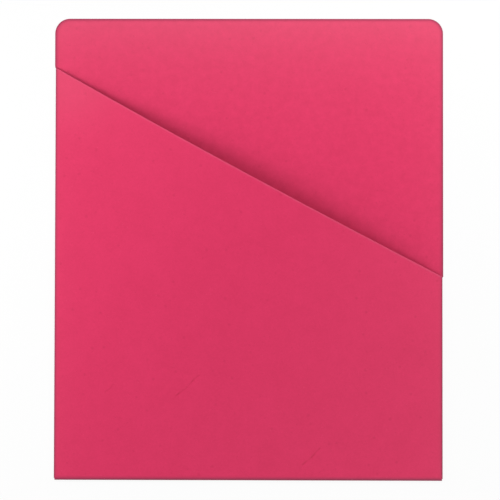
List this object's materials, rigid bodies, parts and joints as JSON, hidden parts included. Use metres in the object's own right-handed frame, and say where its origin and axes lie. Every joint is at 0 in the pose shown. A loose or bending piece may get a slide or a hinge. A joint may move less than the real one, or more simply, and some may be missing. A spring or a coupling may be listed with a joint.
{
  "type": "file jacket",
  "caption": "Flat card pocket for loose letter-size sheets: plain back panel with rounded top corners, and a lower front panel with a long slanted mouth that bows slightly open.",
  "frame": {"origin": "on the surface that the jacket lies on, under the middle of its outline", "axes": "+X across the jacket to the right as the pocket is faced, +Y up it from the foot fold to the rounded corners, +Z out of the pocket's front"},
  "size_m": [0.248, 0.2942, 0.0129],
  "materials": {
    "card": "uncoated card stock of 11 points, dyed crimson pink right through, with fine mottling and a paler cut edge",
    "adhesive": "dried cold glue, a thin cream film"
  },
  "bodies": {
    "root": {"back_panel": "card", "front_panel": "card", "foot_fold": "card", "left_side_fold": "card", "right_side_fold": "card", "left_glue_flap": "card", "right_glue_flap": "card", "left_glue_line": "adhesive", "right_glue_line": "adhesive"}
  },
  "joints": []
}
